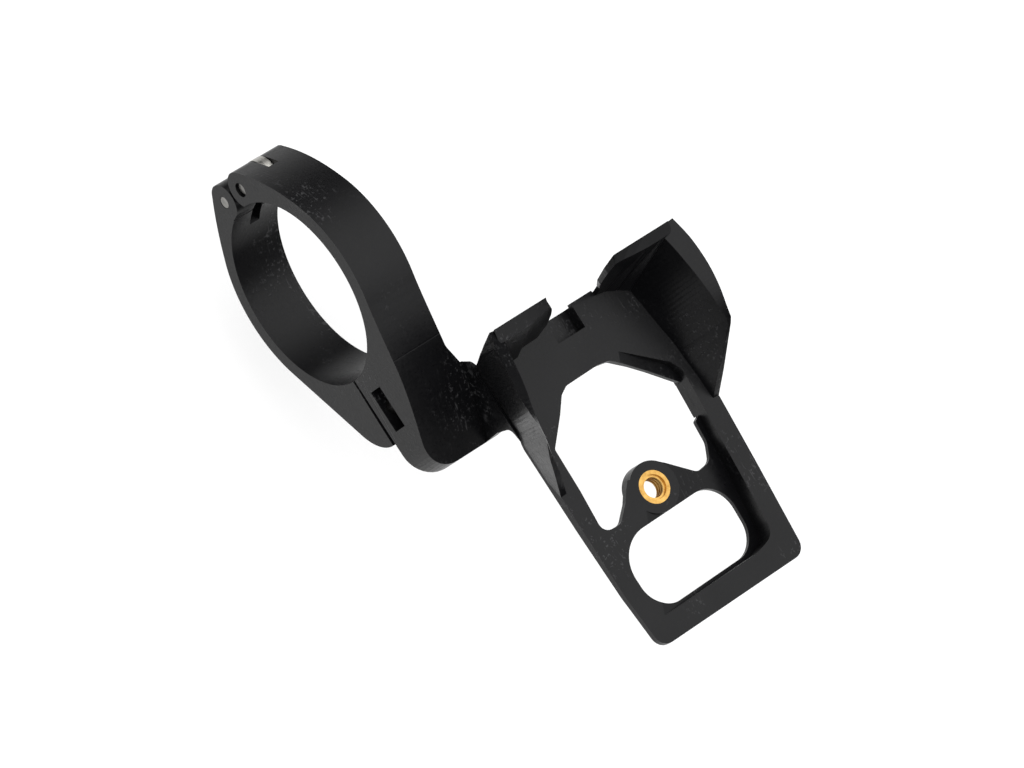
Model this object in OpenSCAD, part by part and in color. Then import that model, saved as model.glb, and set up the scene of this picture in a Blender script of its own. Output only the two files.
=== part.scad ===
// Bar-clamp display mount: a hinged two-part clamp with an offset tray.
// Units are millimetres. The origin is the centre of the clamp bore.
// +Y runs along the handlebar, +X from the clamp towards the tray's far
// end, +Z is the tray's face normal (the side the display sits on).

/* [Clamp] */
// bore of the closed clamp (handlebar diameter)
bore_d = 31.8; // [31.0:0.1:32.4]
// width of the clamp along the bar
clamp_w = 9.5; // [8.5:0.1:10.5]
// outside radius of the upper clamp half
upper_r = 18.6; // [18.2:0.1:18.9]
// outside radius of the lower jaw
jaw_r = 18.4; // [18.0:0.1:18.6]
// height of the arm's underside above the split plane
arm_z = 0.1; // [0:0.05:0.3]
// gap at the split beside the clamp screw
split_gap = 0.6; // [0.3:0.05:1.0]

/* [Hinge] */
// hinge pin diameter
pin_d = 1.9; // [1.6:0.05:2.0]
// radial running clearance of the pins in the plastic
pin_clear = 0.07; // [0.03:0.01:0.1]
// radius of the round lugs
lug_r = 3.05; // [2.8:0.05:3.1]
// thickness of the steel link
link_t = 1.7; // [1.4:0.1:1.7]
// width of the slots the link sits in
slot_w = 1.95; // [1.9:0.05:2.4]

/* [Clamp screw] */
// distance of the screw axis from the bore centre
screw_x = 22.45; // [22.2:0.05:22.7]
// screw length under the head
screw_len = 12; // [11:0.5:12]
// screw head diameter
head_d = 7.0; // [6.6:0.1:7.0]
// width across the flats of the nut
nut_af = 7.0; // [6.8:0.1:7.0]
// height of the nut
nut_h = 3.2; // [2.9:0.1:3.2]

/* [Tray] */
// height of the tray's face above the bore centre
tray_z = 15; // [14.8:0.1:15.2]
// thickness of the tray's sheet
sheet_t = 1.2; // [1.0:0.1:1.4]
// thickness of the floor of the pocket
floor_t = 0.9; // [0.7:0.1:1.2]
// outside radius of the boss around the threaded insert
boss_r = 4.25; // [4.0:0.05:4.3]
// outside diameter of the threaded insert
insert_d = 5.4; // [5.2:0.1:5.6]
// crest diameter of the insert's thread
insert_bore = 3.3; // [3.2:0.05:3.4]
// length of the insert
insert_l = 2.8; // [2.6:0.1:3.2]

/* [Wings] */
// height of the wings' rims above the tray face at the clamp end
wing_h = 13.9; // [12.5:0.1:14.5]
// lean of the end walls, in degrees
end_lean = 11.4; // [9:0.1:13]

/* [Hidden] */
bore_r = bore_d / 2;
hw = clamp_w / 2;
// hinge pin centres in the X-Z plane
p1 = [-18.25, 2.48];
p2 = [-18.36, -4.2];
pin_r = pin_d / 2;
hole_r = pin_r + pin_clear;
slot_r = 3.75;
seat_z = -4.4;
nut_z = 2.45;
ins_x = 54.7;
ins_y = 21.35;
// under side of the neck's ledge and of the tray's sheet
ledge_z = tray_z - sheet_t;
wh = wing_h / 13.9;
big = 200;

// upright profile drawn in X-Z, extruded along +Y from y0 to y1
module xz(y0, y1) {
  translate([0, y1, 0]) rotate([90, 0, 0]) linear_extrude(height = y1 - y0) children();
}
// profile drawn in Y-Z, extruded along +X from x0 to x1
module yz(x0, x1) {
  translate([x0, 0, 0]) rotate([90, 0, 90]) linear_extrude(height = x1 - x0) children();
}
module plan(z0, z1) {
  translate([0, 0, z0]) linear_extrude(height = z1 - z0) children();
}
function unit(v) = v / norm(v);
function dirv(a) = [cos(a), sin(a)];
// outline with rounded corners: each point is [x, y, corner radius]
function wrap(a) = a > 180 ? a - 360 : (a < -180 ? a + 360 : a);
function corner(a, p, b, r, n) =
  let (u = unit(a - p), v = unit(b - p), h = acos(max(-1, min(1, u * v))) / 2)
  (r <= 0 || h > 89) ? [p] :
  let (c = p + unit(u + v) * r / sin(h), s = p + u * r / tan(h) - c, e = p + v * r / tan(h) - c,
       a0 = atan2(s[1], s[0]), da = wrap(atan2(e[1], e[0]) - a0))
  [for (i = [0 : n]) c + r * dirv(a0 + da * i / n)];
function xy(p) = [p[0], p[1]];
function rounded(q, n = 6) = let (m = len(q))
  [for (i = [0 : m - 1]) each corner(xy(q[(i + m - 1) % m]), xy(q[i]), xy(q[(i + 1) % m]), q[i][2], n)];
function bez(a, b, c, d, n) = [for (i = [0 : n]) let (t = i / n, s = 1 - t)
  s * s * s * a + 3 * s * s * t * b + 3 * s * t * t * c + t * t * t * d];

// circle that leaves a ring of radius r at the angle a and runs into a round lug
function blend_a(r, a, p) = let (u = dirv(a))
  (p * p - pow(r - lug_r, 2)) / (2 * (r - lug_r) - 2 * (p * u));
module blend(r, a, p) {
  k = blend_a(r, a, p);
  c = -k * dirv(a);
  t = p + unit(p - c) * 6;
  s = p[1] > 0 ? 1 : -1;
  intersection() {
    // a hair smaller than tangent, so that the outlines cross cleanly
    translate(c) circle(r = r + k - 0.02, $fn = 720);
    polygon([p, t, [-24, s * 26], 1.4 * r * dirv(a), 0.93 * r * dirv(a), [-14, s * 5]]);
  }
}

/* ---------- clamp, upper half and arm ---------- */
module upper_profile() {
  difference() {
    union() {
      // ring wall above the split
      intersection() {
        circle(r = upper_r, $fn = 180);
        polygon([[-14, 5], [0, 5], [0, arm_z], [30, arm_z], [30, 30], [-30, 30], [-22, 12]]);
      }
      blend(upper_r, 124, p1);
      polygon([p1, [-19.6, 5.2], [-14, 9], [-14, 4]]);
      translate(p1) circle(r = lug_r, $fn = 96);
      // arm: leaves the ring, runs out and turns down towards its end
      a = upper_r * dirv(68); b = [18.0, 13.67]; c = [34.85, 4.5];
      polygon(concat([[5, 14]], bez(a, a + 3.4 * [0.927, -0.375], b - 3.4 * [0.955, -0.296], b, 8),
        bez(b, b + 5.5 * [0.955, -0.296], c - 5.5 * [0.85, -0.527], c, 12),
        [[34.85, arm_z], [15.9, arm_z], [12, 8]]));
    }
    circle(r = bore_r, $fn = 180);
  }
}
module arm_plan() {
  // end corner rounded on the near side, step out to the neck on the far side
  polygon(rounded([[-30, -hw, 0], [34.85, -hw, 5.2], [34.85, 8.9, 0], [27.0, 8.9, 2], [24.0, 7.2, 1], [22.4, 6.15, 1.2], [19.2, hw, 3], [-30, hw, 0]], 10));
}
module arm() {
  intersection() {
    xz(-hw, 9.0) upper_profile();
    plan(-8, 30) arm_plan();
  }
}
// upright neck between the arm and the tray's edge
module neck() {
  intersection() {
    xz(6.45, 8.9) polygon(rounded([[22.0, arm_z, 0], [34.85, arm_z, 0], [34.85, 4.5, 0], [34.6, 9.0, 4], [35.2, ledge_z - 0.6, 1.6],
      [38.0, ledge_z, 0], [38.0, ledge_z + 0.02, 0], [24.3, ledge_z + 0.02, 0], [23.2, ledge_z, 0.6], [22.3, 11.6, 3], [22.0, 9.0, 0]]));
    plan(-2, 20) polygon([[22.1, 6.4], [39.0, 6.4], [39.0, 8.9], [27.0, 8.9], [24.4, 7.3], [22.6, 6.5]]);
  }
}

/* ---------- tray ---------- */
module tray_outline() {
  polygon(rounded([[24.19, 6.85, 0], [35.5, 6.85, 2], [38.2, 6.45, 2], [66.4, 6.45, 8], [76.0, 7.15, 2.2],
    [76.0, 37.85, 2.2], [60.2, 39.2, 20], [48.6, 40.05, 6], [36.0, 39.5, 20], [24.19, 38.7, 0], [24.19, 30.9, 0], [23.85, 30.8, 0], [23.85, 21.3, 0], [24.19, 21.2, 0]]));
}
module pocket_outline() {
  polygon(rounded([[35.2, 25.0, 0], [33.8, 28.7, 1.2], [39.9, 36.0, 1.2], [41.9, 37.0, 1.2], [47.1, 36.65, 0], [71.0, 34.75, 2.6], [72.0, 30.5, 0], [72.0, 9.4, 0], [70, 9.4, 0]]));
}
// half space above the sloping floor of the pocket (dz shifts it): the
// floor meets the tray's face along a diagonal and falls 0.083 mm per mm
// of X and 0.17 mm per mm of Y
module above_floor(dz) {
  translate([71, 11, tray_z + dz]) rotate([-9.65, 0, 0]) rotate([0, 4.68, 0]) translate([-big / 2, -big / 2, 0]) cube([big, big, 40]);
}
module big_hole() {
  difference() {
    polygon(rounded([[41.55, 10.1, 0.6], [37.55, 14.15, 0], [35.05, 16.35, 1.6], [34.25, 17.9, 1.0], [34.15, 24.6, 1.5], [34.55, 26.8, 1.5], [39.05, 32.05, 0],
      [43.05, 36.35, 0], [43.4, 36.9, 0], [49.2, 36.49, 0.2], [49.7, 35.3, 0.5], [53.4, 35.2, 2.5], [56.15, 33.75, 1.8], [56.5, 30.6, 2.0], [52.5, 25.85, 3],
      [51.6, 24.6, 0], [52.5, 21.3, 0], [51.6, 17.9, 0], [52.6, 16.9, 1], [54.3, 15.5, 3], [56.6, 12.8, 1.6], [56.4, 9.35, 1.6], [49.0, 9.9, 0]]));
    translate([ins_x, ins_y]) circle(r = boss_r, $fn = 96);
  }
}
module oblong() {
  polygon(rounded([[58.95, 9.75, 6.0], [71.4, 9.75, 5.0], [71.4, 33.6, 4.6], [58.95, 33.6, 5.5]], 16));
}
module tray() {
  difference() {
    union() {
      // sheet
      plan(ledge_z, tray_z) tray_outline();
      // thicker end beside the clamp
      plan(tray_z - 2.9, tray_z - 0.5) polygon([[24.4, 8.6], [33.7, 8.6], [33.7, 37.5], [24.4, 37.0]]);
      // tub under the sloping pocket
      intersection() {
        plan(5, tray_z - 0.1) polygon(rounded([[32.3, 22.0, 0], [32.2, 29.2, 1.5], [38.9, 37.5, 2], [41.5, 38.5, 2], [47.2, 38.15, 0], [72.5, 36.1, 3.5], [73.4, 30.5, 0], [73.4, 8.2, 0], [56, 12, 0]]));
        above_floor(-floor_t);
      }
      // edge of the tub where the window runs up to the wall
      plan(tray_z - 4.2, tray_z - 2) polygon([[42.4, 36.9], [49.2, 36.49], [49.2, 37.7], [42.4, 38.2]]);
      // deeper rail along the near edge, running out towards the far end
      intersection() {
        xz(6.3, 8.6) polygon([[36.0, 14], [39.0, 13.25], [54, 13.3], [68, 13.81], [68, 14]]);
        plan(12, 15) tray_outline();
      }
      // block below the end recess
      plan(tray_z - 3.9, tray_z - 1) polygon([[24.25, 19.6], [24.25, 27.6], [29.4, 27.6], [29.4, 19.6]]);
      // boss
      translate([ins_x, ins_y, tray_z - insert_l - 0.1]) cylinder(r = boss_r, h = insert_l + 0.1, $fn = 96);
    }
    // pocket, leaving the boss
    difference() {
      intersection() {
        plan(4, tray_z + 5) pocket_outline();
        above_floor(0);
      }
      translate([ins_x, ins_y, 0]) cylinder(r = boss_r, h = tray_z, $fn = 96);
    }
    plan(0, 30) big_hole();
    plan(0, 30) oblong();
    // square recess at the clamp-side end
    translate([20, 20.8, tray_z - 2.7]) cube([8.15, 5.65, 10]);
    // seat of the threaded insert
    translate([ins_x, ins_y, 0]) cylinder(r = insert_d / 2, h = 40, $fn = 96);
  }
}

/* ---------- wings ---------- */
// solid through a row of four-point sections
module loft(s, flip = false) {
  n = len(s); k = len(s[0]);
  f = concat(
    [for (i = [0 : n - 2], j = [0 : k - 1]) let (j1 = (j + 1) % k) [i * k + j, i * k + j1, (i + 1) * k + j1]],
    [for (i = [0 : n - 2], j = [0 : k - 1]) let (j1 = (j + 1) % k) [i * k + j, (i + 1) * k + j1, (i + 1) * k + j]],
    [for (j = [1 : k - 2]) [0, j + 1, j]],
    [for (j = [1 : k - 2]) [(n - 1) * k, (n - 1) * k + j, (n - 1) * k + j + 1]]);
  polyhedron(points = [for (r = s) each r], faces = flip ? [for (g = f) [for (j = [len(g) - 1 : -1 : 0]) g[j]]] : f);
}
// stations of a side wall: x, rim y, rim height over the tray, width and
// drop of the rim's top, inner foot, outer foot
wing = [
  [21.0, 41.80, 13.80, 2.70, 1.40, 36.0, 38.60],
  [25.0, 42.65, 13.90, 2.70, 1.40, 36.2, 38.80],
  [28.5, 43.02, 13.70, 2.50, 1.20, 36.6, 39.00],
  [31.5, 43.15, 13.30, 2.15, 1.00, 37.0, 39.20],
  [34.5, 42.98, 12.80, 1.45, 1.00, 37.4, 39.40],
  [37.0, 42.62, 12.30, 0.85, 0.95, 37.8, 39.55],
  [39.0, 42.40, 11.85, 0.42, 0.70, 38.0, 39.65],
  [39.8, 42.22, 11.10, 0.35, 0.40, 38.0, 39.68],
  [42.2, 41.64, 8.00, 0.70, 0.20, 38.2, 39.80],
  [45.2, 40.90, 4.15, 1.15, 0.15, 38.4, 39.95],
  [48.2, 40.10, 0.02, 1.20, 0.05, 38.5, 40.05],
  [48.5, 40.02, -0.40, 1.20, 0.05, 38.5, 40.02]];
mid_y = 22.8;
// curve through the stations up to the rim's corner, then as listed
function through(a, b, c, d, t) = 0.5 * (2 * b + (c - a) * t + (2 * a - 5 * b + 4 * c - d) * t * t + (3 * b - a - 3 * c + d) * t * t * t);
last = 6;
fine_wing = concat(
  [for (i = [0 : last - 1], k = [0 : 3]) through(wing[max(i - 1, 0)], wing[i], wing[i + 1], wing[min(i + 2, last)], k / 4)],
  [for (i = [last : len(wing) - 1]) wing[i]]);
// how far the near wing stands further in than the mirrored far one
function inset(x) = x < 42 ? 0 : (x < 45 ? (x - 42) * 0.147 : 0.44 + (x - 45) * 0.15);
function side_section(w, left) =
  let (z = tray_z + w[2] * wh, m = function (y) left ? 2 * mid_y + inset(w[0]) - y : y,
       foot = left ? 6.85 + min(0, (36.5 - w[0]) * 0.16) : w[6],
       fo = left ? max(6.5, foot) : foot)
  [[w[0], fo, ledge_z + 0.01], [w[0], m(w[1]), z], [w[0], m(w[1] - w[3]), z - w[4]], [w[0], m(w[5]), ledge_z + 0.01]];
// stations of an end wall: y, inner foot x, rim width; foot and rim may differ in y
left_end = [[8.2, 4.6, 27.0, 2.3], [12.3, 9.0, 26.7, 2.3], [13.6, 11.2, 26.6, 2.2], [15.2, 13.0, 25.7, 1.9], [18.6, 15.6, 25.6, 1.5], [20.6, 17.0, 24.9, 1.3], [21.6, 18.0, 24.6, 1.2]];
right_end = [[37.4, 41.0, 27.5, 1.8], [36.4, 39.0, 27.3, 1.8], [34.4, 36.0, 26.0, 1.8], [32.4, 33.0, 25.1, 1.6], [31.2, 31.0, 24.9, 1.4], [29.0, 29.0, 24.8, 1.3]];
function ex(z) = 24.16 + (tray_z - z) * tan(end_lean);
function end_section(e) = let (z = tray_z + 13.8 * wh)
  [[ex(ledge_z), e[0], ledge_z + 0.01], [ex(z), e[1], z], [ex(z) + e[3], e[1], z - 0.8], [e[2] + 0.2, e[0], ledge_z + 0.01]];
module wings() {
  difference() {
    intersection() {
      union() {
        loft([for (w = fine_wing) side_section(w, false)], true);
        loft([for (w = fine_wing) side_section(w, true)]);
        loft([for (e = left_end) end_section(e)], true);
        loft([for (e = right_end) end_section(e)]);
      }
      // outer face of the end walls
      translate([24.16, -50, tray_z]) rotate([0, -end_lean, 0]) translate([0, 0, -30]) cube([60, 150, 80]);
    }
    // opening between the end walls
    yz(10, 30) polygon([[21.4, 12], [21.0, 14.2], [20.5, 16.4], [19.4, 20.3], [17.5, 24.7], [15.3, 28.5], [14.8, 40], [31.0, 40], [29.4, 28.2], [29.2, 24.8], [29.6, 20.4], [30.8, 17.3], [31.0, 17.05], [31.0, 12]]);
  }
}

module arm_frame() {
  color([0.06, 0.06, 0.065])
  difference() {
    union() {
      arm();
      neck();
      tray();
      wings();
    }
    // link slot in the hinge lug
    xz(-slot_w / 2, slot_w / 2) {
      translate(p1) circle(r = slot_r, $fn = 96);
      polygon([[-30, -8], [-14.5, -8], [-14.5, 4.4], [-15.6, 5.2], [-16.2, 6.5], [-19.0, 7.4], [-30, 11]]);
    }
    // pin hole, wider at the near face
    xz(-hw - 1, hw + 1) translate(p1) circle(r = hole_r, $fn = 64);
    xz(-hw - 1, -hw + 0.5) translate(p1) circle(r = hole_r + 0.2, $fn = 64);
    // nut pocket, open at the near face
    translate([screw_x - nut_af / 2 - 0.08, -hw - 1, nut_z]) cube([nut_af + 0.16, hw + 1 + 4.2, nut_h + 0.25]);
    // screw clearance, blind above the nut
    translate([screw_x, 0, -2]) cylinder(r = 2.3, h = 10.6, $fn = 64);
  }
}

/* ---------- lower jaw ---------- */
module jaw_profile() {
  jt = arm_z - split_gap;
  difference() {
    union() {
      intersection() {
        circle(r = jaw_r, $fn = 180);
        polygon([[-14, -6], [0, -6], [0, jt], [30, jt], [30, -30], [-30, -30], [-22, -12]]);
      }
      blend(jaw_r, -125, p2);
      polygon([p2, [-19.6, -6.8], [-14, -10], [-14, -5.5]]);
      translate(p2) circle(r = lug_r, $fn = 96);
      // outer end: straight tangent and rounded nose
      intersection() {
        union() {
          translate([19.61, -0.7]) circle(r = 7.94, $fn = 160);
          polygon([0.95 * jaw_r * dirv(-60), jaw_r * dirv(-60), [23.58, -7.58], [19.6, -0.7], [19.6, 0], [12, 0]]);
        }
        polygon([[0, jt], [16, jt], [28, jt - 0.3], [28, -30], [0, -30]]);
      }
    }
    circle(r = bore_r, $fn = 180);
  }
}
module clamp_jaw() {
  color([0.06, 0.06, 0.065])
  difference() {
    xz(-hw, hw) jaw_profile();
    // link slot, running on into the bore
    xz(-slot_w / 2, slot_w / 2) {
      translate(p2) circle(r = slot_r, $fn = 96);
      polygon([[-30, 8], [-14.5, 8], [-14.6, -2.5], [-13.5, -8.05], [-16, -8.3], [-30, -9.4]]);
    }
    xz(-hw - 1, hw + 1) translate(p2) circle(r = hole_r, $fn = 64);
    // screw hole and head recess
    translate([screw_x, 0, -20]) cylinder(r = 2.3, h = 30, $fn = 64);
    translate([screw_x, 0, -20]) cylinder(r = head_d / 2 + 0.25, h = 20 + seat_z, $fn = 96);
  }
}

/* ---------- hinge ---------- */
module hinge_link() {
  color([0.72, 0.72, 0.7])
  xz(-link_t / 2, link_t / 2) difference() {
    union() {
      translate(p1) circle(r = 3.1, $fn = 96);
      translate(p2) circle(r = 3.1, $fn = 96);
      polygon([p1 - [3.1, 0], p2 - [3.1, 0], [-15.8, p2[1]], [-15.8, p1[1]]]);
    }
    // straight inner side, clear of the bar
    translate([-16.35, -30]) square([20, 60]);
    translate(p1) circle(r = pin_r - 0.01, $fn = 64);
    translate(p2) circle(r = pin_r - 0.01, $fn = 64);
  }
}
module pin_at(p, back) {
  color([0.75, 0.75, 0.73])
  xz(-hw + back, hw - 0.1) translate(p) circle(r = pin_r, $fn = 64);
}

/* ---------- fasteners ---------- */
module clamp_screw() {
  color([0.12, 0.12, 0.12])
  difference() {
    union() {
      translate([screw_x, 0, seat_z - 0.5]) cylinder(r = 1.6, h = screw_len + 0.5, $fn = 64);
      // the head bears on its seat with a hair's gap
      translate([screw_x, 0, seat_z - 4]) cylinder(r = head_d / 2, h = 3.97, $fn = 96);
    }
    // hexagon socket
    translate([screw_x, 0, seat_z - 5]) cylinder(r = 1.5 / cos(30), h = 3.2, $fn = 6);
  }
}
module clamp_nut() {
  color([0.12, 0.12, 0.12])
  difference() {
    translate([screw_x, 0, nut_z]) rotate([0, 0, 30]) cylinder(r = nut_af / 2 / cos(30), h = nut_h, $fn = 6);
    translate([screw_x, 0, nut_z - 1]) cylinder(r = 2.05, h = nut_h + 2, $fn = 64);
  }
}
module threaded_insert() {
  color([0.78, 0.6, 0.28])
  difference() {
    translate([ins_x, ins_y, tray_z - 0.02 - insert_l]) cylinder(r = insert_d / 2 + 0.02, h = insert_l, $fn = 96);
    translate([ins_x, ins_y, 0]) cylinder(r = insert_bore / 2, h = 40, $fn = 96);
    // lead-in
    translate([ins_x, ins_y, tray_z - 0.4]) cylinder(r = 2.05, h = 5, $fn = 96);
  }
}

arm_frame();
clamp_jaw();
hinge_link();
pin_at(p1, 0.45);  // pin_upper
pin_at(p2, 0.05);  // pin_lower
clamp_screw();
clamp_nut();
threaded_insert();
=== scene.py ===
import math

import bpy
from mathutils import Matrix, Vector


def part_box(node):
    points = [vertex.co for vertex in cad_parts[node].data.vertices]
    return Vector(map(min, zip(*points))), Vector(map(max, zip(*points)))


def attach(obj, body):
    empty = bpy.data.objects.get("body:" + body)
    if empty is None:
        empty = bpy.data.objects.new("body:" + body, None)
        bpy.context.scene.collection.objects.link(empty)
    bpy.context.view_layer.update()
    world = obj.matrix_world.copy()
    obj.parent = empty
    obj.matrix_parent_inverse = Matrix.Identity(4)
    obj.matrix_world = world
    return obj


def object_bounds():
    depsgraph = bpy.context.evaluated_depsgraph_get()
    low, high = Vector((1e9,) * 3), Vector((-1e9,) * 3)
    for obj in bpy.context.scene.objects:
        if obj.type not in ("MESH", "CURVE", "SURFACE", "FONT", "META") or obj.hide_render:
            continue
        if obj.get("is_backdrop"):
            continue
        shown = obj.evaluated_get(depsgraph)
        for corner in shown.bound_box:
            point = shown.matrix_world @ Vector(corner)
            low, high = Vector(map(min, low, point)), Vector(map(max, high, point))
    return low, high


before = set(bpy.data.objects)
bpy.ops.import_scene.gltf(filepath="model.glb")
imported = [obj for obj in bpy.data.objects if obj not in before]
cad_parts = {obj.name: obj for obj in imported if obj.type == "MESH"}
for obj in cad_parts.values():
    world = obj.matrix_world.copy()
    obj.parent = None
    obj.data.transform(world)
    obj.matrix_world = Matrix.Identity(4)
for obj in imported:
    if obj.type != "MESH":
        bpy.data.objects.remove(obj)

cad_lo, cad_hi = (tuple(v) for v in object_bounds())

# ---------------------------------------------------------------- camera
RIGHT = Vector((0.54149, 0.735183, 0.407792))
UP = Vector((-0.840619, 0.466468, 0.275257))
BACK = Vector((0.012142, -0.491847, 0.870597))
PLACE = Vector((0.039765857, -0.404508054, 0.748671336))

cam_data = bpy.data.cameras.new("view")
cam_data.sensor_fit = "HORIZONTAL"
cam_data.sensor_width = 36.0
cam_data.lens = 5500.0 / 1024.0 * 36.0
cam_data.clip_start = 0.01
cam_data.clip_end = 20.0
cam = bpy.data.objects.new("view", cam_data)
m = Matrix.Identity(4)
for i in range(3):
    m[i][0], m[i][1], m[i][2], m[i][3] = RIGHT[i], UP[i], BACK[i], PLACE[i]
cam.matrix_world = m
bpy.context.scene.collection.objects.link(cam)
bpy.context.scene.camera = cam
bpy.context.scene.view_settings.view_transform = "Standard"


# ---------------------------------------------------------------- materials
class Graph:
    """Short helpers for one material's nodes."""

    def __init__(self, name):
        self.mat = bpy.data.materials.new(name)
        self.mat.use_nodes = True
        self.nodes = self.mat.node_tree.nodes
        self.links = self.mat.node_tree.links
        self.bsdf = self.nodes["Principled BSDF"]
        self.coord = self.nodes.new("ShaderNodeTexCoord").outputs["Object"]

    def feed(self, socket, value):
        if isinstance(value, (int, float)):
            socket.default_value = value
        else:
            self.links.new(value, socket)

    def math(self, op, a, b=0.0):
        n = self.nodes.new("ShaderNodeMath")
        n.operation = op
        self.feed(n.inputs[0], a)
        self.feed(n.inputs[1], b)
        return n.outputs[0]

    def fit(self, value, a, b, c, d):
        n = self.nodes.new("ShaderNodeMapRange")
        self.feed(n.inputs["Value"], value)
        for k, v in (("From Min", a), ("From Max", b), ("To Min", c), ("To Max", d)):
            n.inputs[k].default_value = v
        return n.outputs["Result"]

    def noise(self, scale, detail=3.0, rough=0.5, stretch=None, turn=(0, 0, 0)):
        vec = self.coord
        if stretch:
            mp = self.nodes.new("ShaderNodeMapping")
            mp.inputs["Scale"].default_value = stretch
            mp.inputs["Rotation"].default_value = turn
            self.links.new(vec, mp.inputs["Vector"])
            vec = mp.outputs["Vector"]
        n = self.nodes.new("ShaderNodeTexNoise")
        n.inputs["Scale"].default_value = scale
        n.inputs["Detail"].default_value = detail
        n.inputs["Roughness"].default_value = rough
        self.links.new(vec, n.inputs["Vector"])
        return n.outputs["Fac"]

    def ramp(self, value, stops):
        n = self.nodes.new("ShaderNodeValToRGB")
        e = n.color_ramp.elements
        while len(e) < len(stops):
            e.new(0.5)
        for s, (p, c) in zip(e, stops):
            s.position = p
            s.color = (*c, 1)
        self.feed(n.inputs["Fac"], value)
        return n.outputs["Color"]

    def axes(self):
        n = self.nodes.new("ShaderNodeSeparateXYZ")
        self.links.new(self.coord, n.inputs[0])
        return n.outputs[0], n.outputs[1], n.outputs[2]

    def within(self, value, lo, hi, soft=0.0003):
        return self.math("MULTIPLY", self.fit(value, lo - soft, lo, 0, 1), self.fit(value, hi, hi + soft, 1, 0))

    def bump(self, height, strength, distance, normal=None):
        n = self.nodes.new("ShaderNodeBump")
        n.inputs["Strength"].default_value = strength
        n.inputs["Distance"].default_value = distance
        self.links.new(height, n.inputs["Height"])
        if normal is not None:
            self.links.new(normal, n.inputs["Normal"])
        return n.outputs["Normal"]


def moulded_plastic(name, witness):
    g = Graph(name)
    slow = g.noise(150.0, 4.0)
    fine = g.noise(2400.0, 3.0, 0.6)
    # rubbed patches: fine specks gathered where the broad noise is high
    patch = g.fit(g.noise(85.0, 2.0), 0.44, 0.62, 0.15, 1.0)
    speck = g.math("MULTIPLY", patch, g.fit(g.noise(1500.0, 2.0, 0.7), 0.56, 0.66, 0.0, 1.0))
    scuff = g.math("MULTIPLY", patch, g.fit(g.noise(420.0, 2.0, 0.5, (1.0, 7.0, 1.0), (0, 0, 0.6)), 0.60, 0.72, 0.0, 1.0))
    mark = g.math("MAXIMUM", speck, scuff)
    g.feed(g.bsdf.inputs["Base Color"], g.ramp(g.math("ADD", g.math("MULTIPLY", slow, 0.55), g.math("MULTIPLY", mark, 0.45)),
           [(0.22, (0.0022, 0.0022, 0.0026)), (0.5, (0.0040, 0.0040, 0.0045)), (0.85, (0.0340, 0.0340, 0.0355))]))
    rough = g.math("ADD", g.fit(fine, 0.3, 0.7, 0.27, 0.38), g.math("MULTIPLY", mark, 0.10))
    g.feed(g.bsdf.inputs["Roughness"], rough)
    g.bsdf.inputs["IOR"].default_value = 1.5
    g.bsdf.inputs["Specular IOR Level"].default_value = 0.16
    normal = g.bump(g.math("ADD", g.math("MULTIPLY", fine, 0.6), g.math("MULTIPLY", mark, 0.8)), 0.34, 0.00005)
    if witness:
        # parting lines left by the mould inserts on the arm
        x, y, z = g.axes()
        line = g.math("ABSOLUTE", g.math("SUBTRACT", g.math("ADD", z, g.math("MULTIPLY", x, 0.13)), 0.00421))
        across = g.math("MULTIPLY", g.fit(line, 0.00003, 0.00013, 1, 0), g.within(x, 0.0170, 0.0270))
        upright = g.math("MULTIPLY", g.fit(g.math("ABSOLUTE", g.math("SUBTRACT", x, 0.0170)), 0.00003, 0.00013, 1, 0),
                         g.within(z, 0.0027, 0.0150))
        groove = g.math("MULTIPLY", g.math("MAXIMUM", across, upright), g.within(y, -0.0050, 0.0050))
        normal = g.bump(g.math("SUBTRACT", 1.0, groove), 0.3, 0.00006, normal)
    g.links.new(normal, g.bsdf.inputs["Normal"])
    return g.mat


def metal(name, dark, light, rough, scale=900.0, stretch=None):
    g = Graph(name)
    g.bsdf.inputs["Metallic"].default_value = 1.0
    n = g.noise(scale, 3.0, 0.5, stretch)
    g.feed(g.bsdf.inputs["Base Color"], g.ramp(n, [(0.3, dark), (0.7, light)]))
    g.feed(g.bsdf.inputs["Roughness"], g.fit(n, 0.25, 0.75, rough - 0.08, rough + 0.08))
    g.links.new(g.bump(n, 0.12, 0.00003), g.bsdf.inputs["Normal"])
    return g.mat


frame_plastic = moulded_plastic("black_moulded_nylon", True)
jaw_plastic = moulded_plastic("black_moulded_nylon_jaw", False)
steel = metal("plain_steel", (0.26, 0.255, 0.24), (0.44, 0.43, 0.40), 0.34, 900.0, (1.0, 6.0, 1.0))
black_steel = metal("black_oxide_steel", (0.018, 0.018, 0.018), (0.050, 0.048, 0.045), 0.32)
pin_steel = metal("pin_steel", (0.15, 0.147, 0.14), (0.26, 0.255, 0.24), 0.34, 900.0, (1.0, 6.0, 1.0))
brass = metal("turned_brass", (0.28, 0.150, 0.036), (0.49, 0.30, 0.088), 0.30, 1100.0, (1.0, 1.0, 9.0))


def dress(node, mat):
    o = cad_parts[node]
    if not o.data.materials:
        o.data.materials.append(mat)
    for i in range(len(o.material_slots)):
        o.material_slots[i].material = mat
    return o


dress("arm_frame", frame_plastic)
dress("clamp_jaw", jaw_plastic)
dress("hinge_link", steel)
for n in ("pin_upper", "pin_lower"):
    dress(n, pin_steel)
for n in ("clamp_screw", "clamp_nut"):
    dress(n, black_steel)
dress("threaded_insert", brass)


# small radii on the edges of the pieces
def bevel(node, width, segments=2, angle=30.0):
    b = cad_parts[node].modifiers.new("edges", "BEVEL")
    b.width = width
    b.segments = segments
    b.limit_method = "ANGLE"
    b.angle_limit = math.radians(angle)
    b.use_clamp_overlap = True
    b.harden_normals = True


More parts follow.
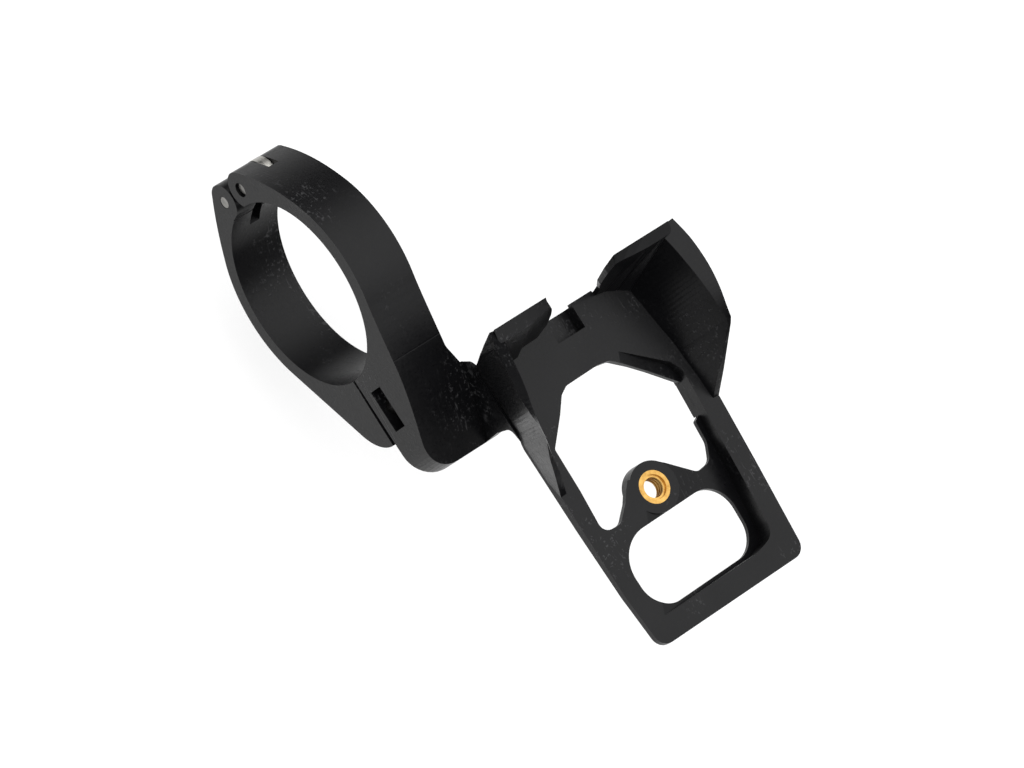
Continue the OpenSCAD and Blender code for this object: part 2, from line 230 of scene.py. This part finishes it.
bevel("arm_frame", 0.00026)
bevel("clamp_jaw", 0.00028)
bevel("hinge_link", 0.00012)
bevel("pin_upper", 0.00015)
bevel("pin_lower", 0.00015)
bevel("clamp_nut", 0.00018)
bevel("clamp_screw", 0.00018)
bevel("threaded_insert", 0.00010)


# ---------------------------------------------------------------- thread of the insert
def thread(name, centre, z0, z1, wall, crest, pitch, mat, body, steps=64):
    """A closed helical ridge standing from the wall of a bore to its crest."""
    half = pitch * 0.36
    turns = (z1 - z0 - 2 * half) / pitch
    count = int(turns * steps)
    verts, faces = [], []
    for i in range(count + 1):
        a = 2 * math.pi * i / steps
        z = z0 + half + pitch * i / steps
        run = min(1.0, i / 12.0, (count - i) / 12.0)
        tip = wall + (crest - wall) * max(run, 0.05)
        for r, dz in ((wall + 0.00002, -half), (tip, -pitch * 0.06), (tip, pitch * 0.06), (wall + 0.00002, half)):
            verts.append((centre[0] + r * math.cos(a), centre[1] + r * math.sin(a), z + dz))
    for i in range(count):
        for j in range(4):
            k = (j + 1) % 4
            faces.append((i * 4 + j, (i + 1) * 4 + j, (i + 1) * 4 + k, i * 4 + k))
    faces.append((0, 1, 2, 3))
    faces.append((count * 4 + 3, count * 4 + 2, count * 4 + 1, count * 4))
    me = bpy.data.meshes.new(name)
    me.from_pydata(verts, [], faces)
    me.validate()
    me.materials.append(mat)
    o = bpy.data.objects.new(name, me)
    bpy.context.scene.collection.objects.link(o)
    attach(o, body)
    return o


ins_lo, ins_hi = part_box("threaded_insert")
ins_c = ((ins_lo[0] + ins_hi[0]) / 2, (ins_lo[1] + ins_hi[1]) / 2)
thread("insert_thread", ins_c, ins_lo[2] + 0.00005, ins_hi[2] - 0.00042, 0.00165, 0.00150, 0.0007, brass, "frame")

# ---------------------------------------------------------------- stage
floor_z = cad_lo[2] - 0.012
mesh = bpy.data.meshes.new("floor")
s = 6.0
mesh.from_pydata([(-s, -s, floor_z), (s, -s, floor_z), (s, s, floor_z), (-s, s, floor_z)], [], [(0, 1, 2, 3)])
floor = bpy.data.objects.new("floor", mesh)
bpy.context.scene.collection.objects.link(floor)
fg = Graph("pale_floor")
fg.feed(fg.bsdf.inputs["Base Color"], fg.ramp(fg.noise(3.0), [(0.0, (0.30, 0.30, 0.30)), (1.0, (0.33, 0.33, 0.33))]))
fg.bsdf.inputs["Roughness"].default_value = 0.9
# lit from within like a light table: even under the object, weaker far away
fx, fy, fz = fg.axes()
fx = fg.math("SUBTRACT", fx, 0.04)
away = fg.math("SQRT", fg.math("ADD", fg.math("MULTIPLY", fx, fx), fg.math("MULTIPLY", fy, fy)))
fg.bsdf.inputs["Emission Color"].default_value = (1.0, 1.0, 1.0, 1)
fg.feed(fg.bsdf.inputs["Emission Strength"], fg.fit(away, 0.13, 0.24, 0.60, 0.10))
fg.mat.cycles.emission_sampling = "NONE"
mesh.materials.append(fg.mat)
floor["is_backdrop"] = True

world = bpy.data.worlds.new("studio")
world.use_nodes = True
bpy.context.scene.world = world
bg = world.node_tree.nodes["Background"]
# a bright ceiling that falls off towards a dark horizon
wn, wl = world.node_tree.nodes, world.node_tree.links
sky = wn.new("ShaderNodeSeparateXYZ")
wl.new(wn.new("ShaderNodeTexCoord").outputs["Generated"], sky.inputs[0])
fall = wn.new("ShaderNodeValToRGB")
stops = fall.color_ramp.elements
stops.new(0.45)
for e, (at, level) in zip(stops, ((0.12, 0.012), (0.45, 0.28), (0.85, 1.0))):
    e.position = at
    e.color = (level, level, level, 1)
wl.new(sky.outputs[2], fall.inputs["Fac"])
wl.new(fall.outputs["Color"], bg.inputs["Color"])
bg.inputs["Strength"].default_value = 2.6


def area(name, place, target, size, power, size_y=None):
    d = bpy.data.lights.new(name, "AREA")
    d.shape = "RECTANGLE"
    d.size = size
    d.size_y = size_y or size
    d.energy = power
    o = bpy.data.objects.new(name, d)
    o.location = place
    o.rotation_mode = "QUATERNION"
    o.rotation_quaternion = (Vector(target) - Vector(place)).to_track_quat("-Z", "Y")
    bpy.context.scene.collection.objects.link(o)
    return o


area("key", (-0.35, -0.25, 0.75), (0.03, 0.02, 0.0), 0.6, 1.2)
